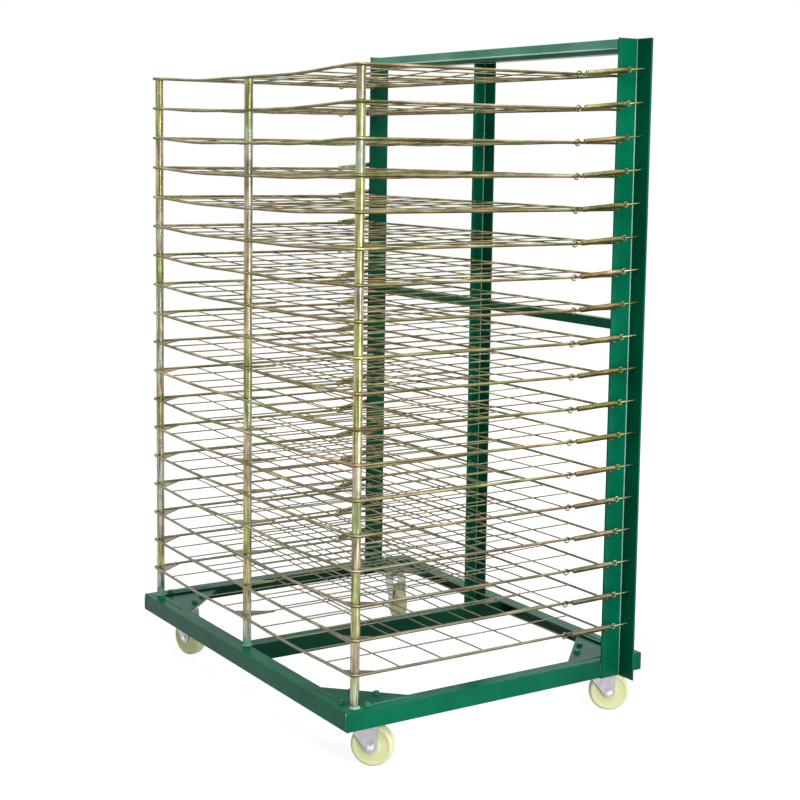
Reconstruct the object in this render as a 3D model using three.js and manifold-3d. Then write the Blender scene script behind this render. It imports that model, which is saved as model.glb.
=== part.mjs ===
// Mobile art drying rack: a welded angle-iron trolley with a stack of hinged wire shelves.
// Millimetres, +Z up. The shelves open towards -Y, and +X is the right side seen from there.
// The origin lies on the floor under the middle of the base.

import * as THREE from 'three';
import { mergeVertices } from 'three/addons/utils/BufferGeometryUtils.js';
import Module from 'manifold-3d';

// Fits
const SEAT_GAP = 0.3; // between pieces that rest on each other or are welded together
const PIN_PLAY = 0.5; // all round a pin or bolt in its hole
const SPRING_CLEARANCE = 2.5; // between a turning spring hook and the upright behind it

// Shelves
const SHELF_COUNT = 18;
const STACK_HEIGHT = 1020; // lowest to highest shelf plane
const FIRST_SHELF_RISE = 59.3; // lowest shelf plane above the top of the base
const TUBE_SPAN = 792; // between the axes of the outer spacer tubes
const SHELF_REACH = 528; // hinge axis to the spacer tubes
const TUBE_DIAMETER = 16;
const EDGE_WIRE = 6;
const GRID_WIRE = 2.5;
const GRID_LAYER_GAP = 0.4;
const LONG_WIRES = 9;
const CROSS_WIRES = 5;
const HINGE_ROD = 5;
const HINGE_OVERHANG = 4; // hinge rod past the outer face of an upright
const PLATE_WALL = 2;
const PLATE_WIDTH = 50; // shelf corner plate, along the front wire
const PLATE_LENGTH = 64; // shelf corner plate, along the side wire
const SHELF_SIDE_GAP = 8.7; // side wire to the upright beside it

// Springs
const COIL_DIAMETER = 8;
const COIL_LENGTH = 80;
const SPRING_WIRE = 2.2;
const EYELET_ARM = 81.6; // eyelet ahead of the hinge axis
const EYELET_REACH = 8.5; // eyelet outside the side wire
const EYELET_RISE = 1;
const EYELET_LEAD = 6; // eyelet to the first turn
const ANCHOR_REACH = 23.7; // spring anchor on the upright, outside its side flange
const ANCHOR_RISE = 13; // spring anchor above the hinge axis

// Uprights and crossbars
const UPRIGHT_SIDE = 46;
const UPRIGHT_FLANGE = 42;
const UPRIGHT_WALL = 4;
const UPRIGHT_HEAD = 67; // upright top above the highest shelf
const HINGE_INSET = 6; // hinge axis behind the front edge of an upright
const MIDDLE_SIDE = 30;
const MIDDLE_FLANGE = 35;
const MIDDLE_WALL = 3;
const MIDDLE_OFFSET = -23.5; // left face of the middle upright
const TOP_RAIL_HEIGHT = 26;
const TOP_RAIL_DEPTH = 30;
const TOP_RAIL_WALL = 3;
const TOP_RAIL_DROP = 2; // below the upright tops
const TOP_RAIL_INSET = 2; // behind the upright front edges
const CROSSBAR_SHELF = 10; // the crossbar lies above this shelf
const CROSSBAR_RISE = 19;
const CROSSBAR_HEIGHT = 18;
const CROSSBAR_DEPTH = 15;
const CROSSBAR_WALL = 3;

// Base
const RAIL_HEIGHT = 33;
const RAIL_TOP = 30;
const RAIL_WALL = 3.5;
const FRONT_MARGIN = 27.5; // spacer tubes behind the front face
const REAR_MARGIN = 55.5; // rear face behind the uprights
const MIDDLE_RAIL_X = 9;
const CORNER_LEG = 182;
const CORNER_WALL = 4;
const STUB_LEFT = 16;
const STUB_MIDDLE = 16;
const STUB_RIGHT = 4;

// Casters
const WHEEL_DIAMETER = 76;
const WHEEL_WIDTH = 24;
const HUB_DIAMETER = 30;
const TREAD_DIAMETER = 64;
const WHEEL_DISH = 3;
const WHEEL_SIDE_PLAY = 1.5;
const AXLE_DIAMETER = 8;
const AXLE_HEAD = 14;
const AXLE_HEAD_HEIGHT = 5;
const FORK_WALL = 3;
const FORK_EYE = 11; // radius of the fork leg round the axle
const FORK_FRONT = 24; // fork crown ahead of the swivel axis
const FORK_CROWN_DROP = 14; // straight part of the leg's front edge
const CASTER_TRAIL = 25;
const CASTER_HEIGHT = 109.6;
const CASTER_PLATE_LENGTH = 92;
const CASTER_PLATE_WIDTH = 62;
const CASTER_PLATE_WALL = 3;
const SWIVEL_INSET = 60; // swivel axis from the outer faces of the base
const RACE_DIAMETER = 40;
const RACE_HEIGHT = 7;
const BOLT_LENGTH_PITCH = 70;
const BOLT_WIDTH_PITCH = 45;
const BOLT_DIAMETER = 7;
const BOLT_HEAD = 13;
const BOLT_HEAD_HEIGHT = 5;

// How the casters stand, as the trailing direction turned from +X
const YAW_FRONT_RIGHT = 45;
const YAW_FRONT_LEFT = 15;
const YAW_REAR_RIGHT = 55;
const YAW_REAR_LEFT = -15;

// Facets
const WIRE_SIDES = 4;
const TUBE_SIDES = 6;
const ROD_SIDES = 6;
const COIL_SIDES = 5;
const CORNER_STEPS = 2;
const WHEEL_SIDES = 16;
const RACE_SIDES = 12;
const EYE_STEPS = 5;

// Places worked out from the sizes above
const SHELF_PITCH = STACK_HEIGHT / (SHELF_COUNT - 1);
const squareSide = (diameter) => (diameter * Math.sqrt(Math.PI)) / 2;
const EDGE_SIDE = squareSide(EDGE_WIRE);
const GRID_SIDE = squareSide(GRID_WIRE);
const CORNER_RADIUS = TUBE_DIAMETER / 2 + SEAT_GAP + EDGE_SIDE / 2;
const SIDE_WIRE_X = TUBE_SPAN / 2 + CORNER_RADIUS;
const UPRIGHT_X = SIDE_WIRE_X + EDGE_SIDE / 2 + SHELF_SIDE_GAP;
const BASE_X = UPRIGHT_X - SEAT_GAP;
const BASE_DEPTH = FRONT_MARGIN + SHELF_REACH + UPRIGHT_SIDE - HINGE_INSET + REAR_MARGIN;
const FRONT_Y = -BASE_DEPTH / 2;
const REAR_Y = BASE_DEPTH / 2;
const TUBE_Y = FRONT_Y + FRONT_MARGIN;
const HINGE_Y = TUBE_Y + SHELF_REACH;
const UPRIGHT_FRONT_Y = HINGE_Y - HINGE_INSET;
const FLANGE_Y = UPRIGHT_FRONT_Y + UPRIGHT_SIDE - UPRIGHT_WALL;
const CORNER_PLATE_Z = CASTER_HEIGHT + SEAT_GAP;
const BASE_TOP = CORNER_PLATE_Z + CORNER_WALL + SEAT_GAP + RAIL_WALL;
const BASE_BOTTOM = BASE_TOP - RAIL_HEIGHT;
const shelfZ = (number) => BASE_TOP + FIRST_SHELF_RISE + (number - 1) * SHELF_PITCH;
const UPRIGHT_TOP = shelfZ(SHELF_COUNT) + UPRIGHT_HEAD;
const TOP_RAIL_Z = UPRIGHT_TOP - TOP_RAIL_DROP - TOP_RAIL_HEIGHT;
const EYELET_X = SIDE_WIRE_X + EYELET_REACH;
const ANCHOR_X = UPRIGHT_X + ANCHOR_REACH;

// Materials
const paint = new THREE.MeshStandardMaterial({ color: 0x1f7d57, roughness: 0.38, metalness: 0.1 });
const zinc = new THREE.MeshStandardMaterial({ color: 0xcdbf8c, roughness: 0.35, metalness: 0.85 });
const steel = new THREE.MeshStandardMaterial({ color: 0xb9b6bb, roughness: 0.4, metalness: 0.85 });
const nylon = new THREE.MeshStandardMaterial({ color: 0xe6e4a8, roughness: 0.5, metalness: 0 });

const wasm = await Module();
wasm.setup();

// Solids from three.js geometry, and back again
function solid(geometry) {
  const bare = geometry.clone();
  bare.deleteAttribute('normal');
  bare.deleteAttribute('uv');
  const merged = mergeVertices(bare.index ? bare.toNonIndexed() : bare, 1e-4);
  return new wasm.Manifold(new wasm.Mesh({
    numProp: 3,
    vertProperties: new Float32Array(merged.attributes.position.array),
    triVerts: new Uint32Array(merged.index.array),
  }));
}

function toGeometry(body) {
  const mesh = body.getMesh();
  const geometry = new THREE.BufferGeometry();
  geometry.setAttribute('position', new THREE.BufferAttribute(mesh.vertProperties, 3));
  geometry.setIndex(new THREE.BufferAttribute(mesh.triVerts, 1));
  geometry.computeVertexNormals();
  return geometry;
}

function fuse(geometries) {
  return geometries.map(solid).reduce((whole, piece) => whole.add(piece));
}

function cut(geometries, cutters) {
  return toGeometry(fuse(geometries).subtract(fuse(cutters)));
}

// Basic shapes
function box(from, to) {
  const size = to.map((value, axis) => value - from[axis]);
  const middle = to.map((value, axis) => (value + from[axis]) / 2);
  return new THREE.BoxGeometry(...size).translate(...middle);
}

// A round or faceted bar between two points, turned about its own axis by twist
function bar(from, to, diameter, sides, twist = 0) {
  const start = new THREE.Vector3(...from);
  const along = new THREE.Vector3(...to).sub(start);
  const geometry = new THREE.CylinderGeometry(diameter / 2, diameter / 2, along.length(), sides);
  geometry.rotateY(twist).translate(0, along.length() / 2, 0);
  const up = new THREE.Vector3(0, 1, 0);
  const turn = new THREE.Quaternion().setFromUnitVectors(up, along.clone().normalize());
  return geometry.applyQuaternion(turn).translate(...from);
}

function extrude(points, depth) {
  const shape = new THREE.Shape(points.map(([x, y]) => new THREE.Vector2(x, y)));
  return new THREE.ExtrudeGeometry(shape, { depth, bevelEnabled: false });
}

// A wire's route, followed point by point with mitred corners
class WireRoute extends THREE.Curve {
  constructor(points) {
    super();
    this.points = points;
  }

  getPointAt(share, target = new THREE.Vector3()) {
    return target.copy(this.points[Math.round(share * (this.points.length - 1))]);
  }

  getTangentAt(share, target = new THREE.Vector3()) {
    const last = this.points.length - 1;
    const here = Math.round(share * last);
    const leg = (from) => this.points[from + 1].clone().sub(this.points[from]).normalize();
    return target.copy(leg(Math.max(here - 1, 0))).add(leg(Math.min(here, last - 1))).normalize();
  }
}

// The edge wire runs from one hinge end round both front corners to the other
function edgeWire() {
  const points = [new THREE.Vector3(-SIDE_WIRE_X, EDGE_SIDE, 0)];
  for (const side of [-1, 1]) {
    for (let step = 0; step <= CORNER_STEPS; step += 1) {
      const turned = (step / CORNER_STEPS) * (Math.PI / 2);
      const angle = side < 0 ? Math.PI + turned : -Math.PI / 2 + turned;
      const x = (side * TUBE_SPAN) / 2 + CORNER_RADIUS * Math.cos(angle);
      points.push(new THREE.Vector3(x, -SHELF_REACH + CORNER_RADIUS * Math.sin(angle), 0));
    }
  }
  points.push(new THREE.Vector3(SIDE_WIRE_X, EDGE_SIDE, 0));
  const half = EDGE_SIDE / 2;
  const section = new THREE.Shape([[-half, -half], [half, -half], [half, half], [-half, half]]
    .map(([x, y]) => new THREE.Vector2(x, y)));
  return new THREE.ExtrudeGeometry(section, {
    steps: points.length - 1,
    extrudePath: new WireRoute(points),
  });
}

function gridWires() {
  const half = GRID_SIDE / 2;
  const layer = half + GRID_LAYER_GAP / 2;
  const frontY = -SHELF_REACH - CORNER_RADIUS;
  const wires = [];
  for (let number = 1; number <= LONG_WIRES; number += 1) {
    const x = -TUBE_SPAN / 2 + (number * TUBE_SPAN) / (LONG_WIRES + 1);
    wires.push(box([x - half, frontY, layer - half], [x + half, 0, layer + half]));
  }
  for (let number = 1; number <= CROSS_WIRES; number += 1) {
    const y = -(number * SHELF_REACH) / (CROSS_WIRES + 1);
    wires.push(box([-SIDE_WIRE_X, y - half, -layer - half], [SIDE_WIRE_X, y + half, -layer + half]));
  }
  return wires;
}

// Three flat plates in the front of the shelf, each over the head of a spacer tube
function cornerPlates() {
  const frontY = -SHELF_REACH - CORNER_RADIUS;
  const chamfer = CORNER_RADIUS * (2 - Math.SQRT2);
  const level = -(EDGE_SIDE / 2 - SEAT_GAP);
  const corner = (side) => {
    const outer = side * SIDE_WIRE_X;
    const points = [
      [outer - side * PLATE_WIDTH, frontY],
      [outer - side * chamfer, frontY],
      [outer, frontY + chamfer],
      [outer, frontY + PLATE_LENGTH],
    ];
    return side > 0 ? points : points.reverse();
  };
  const lip = TUBE_DIAMETER / 2 + EDGE_SIDE / 2;
  const middle = [
    [-PLATE_WIDTH, frontY],
    [lip, frontY],
    [lip, frontY + CORNER_RADIUS + lip],
    [-lip / 2, frontY + PLATE_LENGTH],
  ];
  return [corner(-1), middle, corner(1)].map((points) => extrude(points, PLATE_WALL).translate(0, 0, level));
}

// Spacer tubes hang from the plates. The lowest shelf's tubes stand on stubs of their own heights.
function spacerTubes(drops) {
  const head = -(EDGE_SIDE / 2 - SEAT_GAP) + PLATE_WALL / 2;
  return drops.map((drop, place) => {
    const x = ((place - 1) * TUBE_SPAN) / 2;
    return bar([x, -SHELF_REACH, -drop], [x, -SHELF_REACH, head], TUBE_DIAMETER, TUBE_SIDES,
      Math.PI / TUBE_SIDES);
  });
}

// A close-wound spring from its eyelet on the side wire towards its anchor on the upright
function spring(side) {
  const eyelet = new THREE.Vector3(side * EYELET_X, -EYELET_ARM, EYELET_RISE);
  const anchor = new THREE.Vector3(side * ANCHOR_X, FLANGE_Y - HINGE_Y, ANCHOR_RISE);
  const along = anchor.clone().sub(eyelet).normalize();
  const at = (distance) => eyelet.clone().addScaledVector(along, distance);
  const coilEnd = EYELET_LEAD + COIL_LENGTH;
  const swing = FLANGE_Y - HINGE_Y - SPRING_CLEARANCE - SPRING_WIRE / 2;
  const hookEnd = Math.sqrt(Math.max(swing ** 2 - ANCHOR_RISE ** 2, 0));
  const hook = at((hookEnd + EYELET_ARM) / along.y);
  return [
    bar([side * SIDE_WIRE_X, -EYELET_ARM, 0], at(EYELET_LEAD + SPRING_WIRE).toArray(), SPRING_WIRE, WIRE_SIDES),
    bar(at(EYELET_LEAD).toArray(), at(coilEnd).toArray(), COIL_DIAMETER, COIL_SIDES),
    bar(at(coilEnd - SPRING_WIRE).toArray(), hook.toArray(), SPRING_WIRE, WIRE_SIDES),
  ];
}

function shelfGeometry(drops) {
  const pin = UPRIGHT_X + UPRIGHT_WALL + HINGE_OVERHANG;
  return toGeometry(fuse([
    edgeWire(),
    bar([-pin, 0, 0], [pin, 0, 0], HINGE_ROD, ROD_SIDES),
    ...gridWires(),
    ...cornerPlates(),
    ...spacerTubes(drops),
    ...spring(-1),
    ...spring(1),
  ]));
}

// Rows of holes, one for each shelf
function shelfHoles(hole) {
  return Array.from({ length: SHELF_COUNT }, (_, index) => hole(shelfZ(index + 1)));
}

const hingeHole = (fromX, toX) => (z) => bar([fromX, HINGE_Y, z], [toX, HINGE_Y, z],
  (HINGE_ROD + 2 * PIN_PLAY) / Math.cos(Math.PI / ROD_SIDES), ROD_SIDES);

// An outer upright: its side flange lies on the side rail and its rear flange turns outwards
function outerUpright(side) {
  const inner = side * UPRIGHT_X;
  const outer = inner + side * UPRIGHT_WALL;
  const end = inner + side * UPRIGHT_FLANGE;
  const rearY = FLANGE_Y + UPRIGHT_WALL;
  const points = [
    [inner, UPRIGHT_FRONT_Y], [outer, UPRIGHT_FRONT_Y], [outer, FLANGE_Y],
    [end, FLANGE_Y], [end, rearY], [inner, rearY],
  ];
  const section = extrude(side > 0 ? points : points.reverse(), UPRIGHT_TOP - BASE_BOTTOM);
  return cut([section.translate(0, 0, BASE_BOTTOM)],
    shelfHoles(hingeHole(inner - side * UPRIGHT_WALL, outer + side * UPRIGHT_WALL)));
}

function middleUpright() {
  const left = MIDDLE_OFFSET;
  const foot = BASE_TOP + SEAT_GAP;
  const rearY = UPRIGHT_FRONT_Y + MIDDLE_SIDE;
  const section = extrude([
    [left, UPRIGHT_FRONT_Y], [left + MIDDLE_WALL, UPRIGHT_FRONT_Y],
    [left + MIDDLE_WALL, rearY - MIDDLE_WALL], [left + MIDDLE_FLANGE, rearY - MIDDLE_WALL],
    [left + MIDDLE_FLANGE, rearY], [left, rearY],
  ], TOP_RAIL_Z - SEAT_GAP - foot);
  return cut([section.translate(0, 0, foot)],
    shelfHoles(hingeHole(left - MIDDLE_WALL, left + 2 * MIDDLE_WALL)));
}

// The top rail's lower flange runs back over the middle upright
function topRail() {
  const end = UPRIGHT_X - SEAT_GAP;
  const frontY = UPRIGHT_FRONT_Y + TOP_RAIL_INSET;
  return toGeometry(fuse([
    box([-end, frontY, TOP_RAIL_Z], [end, frontY + TOP_RAIL_WALL, TOP_RAIL_Z + TOP_RAIL_HEIGHT]),
    box([-end, frontY, TOP_RAIL_Z], [end, frontY + TOP_RAIL_DEPTH, TOP_RAIL_Z + TOP_RAIL_WALL]),
  ]));
}

// The crossbar passes behind the middle upright
function crossbar() {
  const end = UPRIGHT_X - SEAT_GAP;
  const frontY = UPRIGHT_FRONT_Y + MIDDLE_SIDE + SEAT_GAP;
  const bottom = shelfZ(CROSSBAR_SHELF) + CROSSBAR_RISE;
  const top = bottom + CROSSBAR_HEIGHT;
  return toGeometry(fuse([
    box([-end, frontY, bottom], [end, frontY + CROSSBAR_WALL, top]),
    box([-end, frontY, top - CROSSBAR_WALL], [end, frontY + CROSSBAR_DEPTH, top]),
  ]));
}

// The four bolts of a caster plate, in the corner's own frame, with the level under each head
function casterBolts() {
  const bolts = [];
  for (const along of [-1, 1]) {
    for (const across of [-1, 1]) {
      const inward = (along * BOLT_LENGTH_PITCH) / 2;
      const sideways = (across * BOLT_WIDTH_PITCH) / 2;
      bolts.push({
        x: SWIVEL_INSET + (inward + sideways) * Math.SQRT1_2,
        y: SWIVEL_INSET + (inward - sideways) * Math.SQRT1_2,
        seat: along < 0 ? BASE_TOP : CORNER_PLATE_Z + CORNER_WALL,
      });
    }
  }
  return bolts;
}

// An angle rail along X: outer face at y 0, top at z 0, top flange shortened by cope at each end
function railGeometry(length, cope) {
  const half = length / 2;
  const upper = half - cope;
  const skirtTop = -RAIL_WALL - SEAT_GAP;
  return [
    box([-upper, 0, -RAIL_HEIGHT], [upper, RAIL_WALL, 0]),
    box([-upper, 0, -RAIL_WALL], [upper, RAIL_TOP, 0]),
    box([-half, 0, -RAIL_HEIGHT], [half, RAIL_WALL, cope > 0 ? skirtTop : 0]),
  ];
}

// The corners of the base, each turned so that its own +x and +y run inwards along the rails
const corners = [
  { name: 'front_left', x: -BASE_X, y: FRONT_Y, turn: 0, yaw: YAW_FRONT_LEFT },
  { name: 'front_right', x: BASE_X, y: FRONT_Y, turn: 90, yaw: YAW_FRONT_RIGHT },
  { name: 'rear_right', x: BASE_X, y: REAR_Y, turn: 180, yaw: YAW_REAR_RIGHT },
  { name: 'rear_left', x: -BASE_X, y: REAR_Y, turn: 270, yaw: YAW_REAR_LEFT },
];

function cornerMatrix({ x, y, turn }) {
  return new THREE.Matrix4().makeRotationZ(THREE.MathUtils.degToRad(turn)).setPosition(x, y, 0);
}

function boltHoles(bolts) {
  const bore = (BOLT_DIAMETER + 2 * PIN_PLAY) / Math.cos(Math.PI / ROD_SIDES);
  return bolts.map(({ x, y }) => bar([x, y, BASE_BOTTOM], [x, y, BASE_TOP + RAIL_WALL], bore, ROD_SIDES));
}

// A base rail in its place, with the holes of every caster bolt that passes through it
function rail(name, length, cope, x, y, turn) {
  const place = new THREE.Matrix4().makeRotationZ(THREE.MathUtils.degToRad(turn)).setPosition(x, y, BASE_TOP);
  const back = place.clone().invert();
  const holes = corners.flatMap((corner) => boltHoles(casterBolts())
    .map((hole) => hole.applyMatrix4(cornerMatrix(corner)).applyMatrix4(back)));
  const mesh = new THREE.Mesh(cut(railGeometry(length, cope), holes), paint);
  mesh.name = name;
  mesh.applyMatrix4(place);
  return mesh;
}

function named(name, geometry, material) {
  const mesh = new THREE.Mesh(geometry, material);
  mesh.name = name;
  return mesh;
}

// A corner plate lies under the top flanges of the rails that meet there
function cornerPlate() {
  const inset = RAIL_WALL + SEAT_GAP;
  const plate = extrude([[inset, inset], [CORNER_LEG, inset], [inset, CORNER_LEG]], CORNER_WALL);
  return cut([plate.translate(0, 0, CORNER_PLATE_Z)], boltHoles(casterBolts()));
}

// The caster's mounting plate with its four bolts
function casterPlate() {
  const plate = box(
    [-CASTER_PLATE_LENGTH / 2, -CASTER_PLATE_WIDTH / 2, CASTER_HEIGHT - CASTER_PLATE_WALL],
    [CASTER_PLATE_LENGTH / 2, CASTER_PLATE_WIDTH / 2, CASTER_HEIGHT]);
  plate.rotateZ(Math.PI / 4).translate(SWIVEL_INSET, SWIVEL_INSET, 0);
  const bolts = casterBolts().flatMap(({ x, y, seat }) => {
    const head = seat + SEAT_GAP;
    return [
      bar([x, y, CASTER_HEIGHT - CASTER_PLATE_WALL / 2], [x, y, head + BOLT_HEAD_HEIGHT / 2],
        BOLT_DIAMETER, ROD_SIDES),
      bar([x, y, head], [x, y, head + BOLT_HEAD_HEIGHT], BOLT_HEAD, ROD_SIDES),
    ];
  });
  return toGeometry(fuse([plate, ...bolts]));
}

// The fork, in the swivel's frame: its crown under the ball race, its two legs down to the axle
function fork() {
  const crownTop = CASTER_HEIGHT - CASTER_PLATE_WALL - SEAT_GAP - RACE_HEIGHT;
  const inner = WHEEL_WIDTH / 2 + WHEEL_SIDE_PLAY;
  const axleZ = WHEEL_DIAMETER / 2;
  const rear = CASTER_TRAIL + FORK_EYE;
  const leg = [[-FORK_FRONT, crownTop], [-FORK_FRONT, crownTop - FORK_CROWN_DROP]];
  for (let step = 0; step <= EYE_STEPS; step += 1) {
    const angle = Math.PI * (1.2 + (0.8 * step) / EYE_STEPS);
    leg.push([CASTER_TRAIL + FORK_EYE * Math.cos(angle), axleZ + FORK_EYE * Math.sin(angle)]);
  }
  leg.push([rear, crownTop]);
  const side = (y) => extrude(leg, FORK_WALL).rotateX(Math.PI / 2).translate(0, y, 0);
  const crown = box([-FORK_FRONT, -inner - FORK_WALL / 2, crownTop - FORK_WALL],
    [rear, inner + FORK_WALL / 2, crownTop]);
  const race = bar([0, 0, crownTop - FORK_WALL / 2], [0, 0, crownTop + RACE_HEIGHT], RACE_DIAMETER, RACE_SIDES);
  const bore = (AXLE_DIAMETER + 2 * SEAT_GAP) / Math.cos(Math.PI / TUBE_SIDES);
  const reach = inner + 2 * FORK_WALL;
  const hole = bar([CASTER_TRAIL, -reach, axleZ], [CASTER_TRAIL, reach, axleZ], bore, TUBE_SIDES);
  return cut([side(inner + FORK_WALL), side(-inner), crown, race], [hole]);
}

// The axle bolt with its head and nut
function axle() {
  const seat = WHEEL_WIDTH / 2 + WHEEL_SIDE_PLAY + FORK_WALL + SEAT_GAP;
  const end = seat + AXLE_HEAD_HEIGHT;
  const overlap = AXLE_HEAD_HEIGHT / 2;
  return toGeometry(fuse([
    bar([0, -seat - overlap, 0], [0, seat + overlap, 0], AXLE_DIAMETER, TUBE_SIDES),
    bar([0, -end, 0], [0, -seat, 0], AXLE_HEAD, ROD_SIDES),
    bar([0, seat, 0], [0, end, 0], AXLE_HEAD, ROD_SIDES),
  ]));
}

// A wheel with a raised hub and tread and dished sides, turned about its axle
function wheel() {
  const bore = (AXLE_DIAMETER / 2 + PIN_PLAY) / Math.cos(Math.PI / WHEEL_SIDES);
  const half = WHEEL_WIDTH / 2;
  const dish = half - WHEEL_DISH;
  const profile = [
    [bore, -half], [HUB_DIAMETER / 2, -half], [HUB_DIAMETER / 2 + WHEEL_DISH, -dish],
    [TREAD_DIAMETER / 2, -half], [WHEEL_DIAMETER / 2, -half + WHEEL_DISH],
  ];
  const mirrored = profile.map(([radius, along]) => [radius, -along]).reverse();
  const points = [...profile, ...mirrored, profile[0]].map(([radius, along]) => new THREE.Vector2(radius, along));
  return new THREE.LatheGeometry(points, WHEEL_SIDES);
}

const rack = new THREE.Group();

// Base rails
const coped = RAIL_TOP - RAIL_WALL;
const crossLength = 2 * (BASE_X - RAIL_WALL - SEAT_GAP);
const middleLength = BASE_DEPTH - 2 * (RAIL_WALL + SEAT_GAP);
rack.add(
  rail('front_rail', crossLength, coped, 0, FRONT_Y, 0),
  rail('rear_rail', crossLength, coped, 0, REAR_Y, 180),
  rail('right_side_rail', BASE_DEPTH, 0, BASE_X, 0, 90),
  rail('left_side_rail', BASE_DEPTH, 0, -BASE_X, 0, 270),
  rail('middle_rail', middleLength, coped, MIDDLE_RAIL_X, 0, 90),
);

// Uprights, top rail and crossbar
rack.add(
  named('right_upright', outerUpright(1), paint),
  named('left_upright', outerUpright(-1), paint),
  named('middle_upright', middleUpright(), paint),
  named('top_rail', topRail(), paint),
  named('crossbar', crossbar(), paint),
);

// Stubs under the lowest spacer tubes
const stubs = [
  { name: 'left_stub', height: STUB_LEFT },
  { name: 'middle_stub', height: STUB_MIDDLE },
  { name: 'right_stub', height: STUB_RIGHT },
];
stubs.forEach(({ name, height }, place) => {
  const stub = named(name, bar([0, 0, 0], [0, 0, height], TUBE_DIAMETER, TUBE_SIDES, Math.PI / TUBE_SIDES), paint);
  stub.position.set(((place - 1) * TUBE_SPAN) / 2, TUBE_Y, BASE_TOP + SEAT_GAP);
  rack.add(stub);
});

// Corner plates and casters
for (const corner of corners) {
  const frame = new THREE.Group();
  frame.applyMatrix4(cornerMatrix(corner));
  const swivel = new THREE.Group();
  swivel.position.set(SWIVEL_INSET, SWIVEL_INSET, 0);
  swivel.rotation.z = THREE.MathUtils.degToRad(corner.yaw - corner.turn);
  const axleBolt = named(`${corner.name}_axle`, axle(), steel);
  const tyre = named(`${corner.name}_wheel`, wheel(), nylon);
  for (const turning of [axleBolt, tyre]) {
    turning.position.set(CASTER_TRAIL, 0, WHEEL_DIAMETER / 2);
  }
  swivel.add(named(`${corner.name}_fork`, fork(), steel), axleBolt, tyre);
  frame.add(
    named(`${corner.name}_corner_plate`, cornerPlate(), paint),
    named(`${corner.name}_caster_plate`, casterPlate(), steel),
    swivel,
  );
  rack.add(frame);
}

// Shelves, from the lowest up
const stackedDrop = SHELF_PITCH - EDGE_SIDE / 2 - SEAT_GAP;
const stackedShelf = shelfGeometry([stackedDrop, stackedDrop, stackedDrop]);
const lowestShelf = shelfGeometry(stubs.map(({ height }) => FIRST_SHELF_RISE - height - 2 * SEAT_GAP));
for (let number = 1; number <= SHELF_COUNT; number += 1) {
  const name = `shelf_${String(number).padStart(2, '0')}`;
  const shelf = named(name, number === 1 ? lowestShelf : stackedShelf, zinc);
  shelf.position.set(0, HINGE_Y, shelfZ(number));
  rack.add(shelf);
}

export default rack;
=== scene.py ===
"""Mobile art drying rack with hinged wire shelves: looks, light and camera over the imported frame."""

import math
import random

import bmesh
import bpy
from mathutils import Euler, Matrix, Vector

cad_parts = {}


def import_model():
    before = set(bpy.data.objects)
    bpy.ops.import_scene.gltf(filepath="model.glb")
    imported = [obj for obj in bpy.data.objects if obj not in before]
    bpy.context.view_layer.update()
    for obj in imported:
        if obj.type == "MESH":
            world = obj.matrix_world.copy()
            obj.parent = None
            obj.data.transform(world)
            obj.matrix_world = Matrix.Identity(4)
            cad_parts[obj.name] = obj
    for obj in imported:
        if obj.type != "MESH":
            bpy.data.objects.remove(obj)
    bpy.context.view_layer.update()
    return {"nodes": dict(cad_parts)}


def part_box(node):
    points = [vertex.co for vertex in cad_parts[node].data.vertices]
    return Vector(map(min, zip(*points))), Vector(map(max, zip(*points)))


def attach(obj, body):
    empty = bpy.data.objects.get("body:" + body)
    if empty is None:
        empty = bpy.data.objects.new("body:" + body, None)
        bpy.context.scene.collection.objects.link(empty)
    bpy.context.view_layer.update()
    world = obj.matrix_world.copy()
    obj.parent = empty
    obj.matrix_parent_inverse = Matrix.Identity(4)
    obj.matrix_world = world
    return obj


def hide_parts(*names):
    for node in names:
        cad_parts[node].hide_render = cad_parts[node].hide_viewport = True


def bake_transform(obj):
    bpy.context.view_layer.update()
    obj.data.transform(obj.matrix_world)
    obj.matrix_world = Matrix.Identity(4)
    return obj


MM = 0.001
SEED = 1777
UP = Vector((0, 0, 1))

# Shelves: each is drawn in its own frame, with the hinge rod along X and the front towards -Y
SHELF_COUNT = 18
SHELF_PITCH = 60 * MM
FIRST_SHELF = 177 * MM
SHELF_REACH = 528 * MM
HINGE_Y = 230 * MM
TUBE_SPAN = 792 * MM
HALF_SPAN = TUBE_SPAN / 2
EDGE_RADIUS = 2.7 * MM
EDGE_PAST_HINGE = 3 * MM
CORNER_RADIUS = 10.96 * MM
SIDE_WIRE_X = HALF_SPAN + CORNER_RADIUS
FRONT_WIRE_Y = -SHELF_REACH - CORNER_RADIUS
SIDE_STEPS = 12
BEND_STEPS = 8
FRONT_STEPS = 24
HINGE_RADIUS = 2.2 * MM
HINGE_HALF = 426 * MM
HINGE_CHAMFER = 1 * MM
HINGE_TIP = 0.75 * HINGE_RADIUS
GRID_RADIUS = 1.25 * MM
GRID_LAYER = 0.95 * GRID_RADIUS
LONG_WIRES = 9
CROSS_WIRES = 5
WIRE_POINTS = 25
ROUND_SIDES = 12
WIRE_SIDES = 8

# How a shelf hangs: in each bay, and along its middle, where the drop grows up the stack
SHELF_SAG = 5 * MM
SAG_SPREAD = (0.5, 1.2)
SAG_START = 0.12
SAG_TURN = 0.62
SAG_RISE = 4
LEAST_DROP = 2 * MM
DROP_GROWTH = 8 * MM

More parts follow.
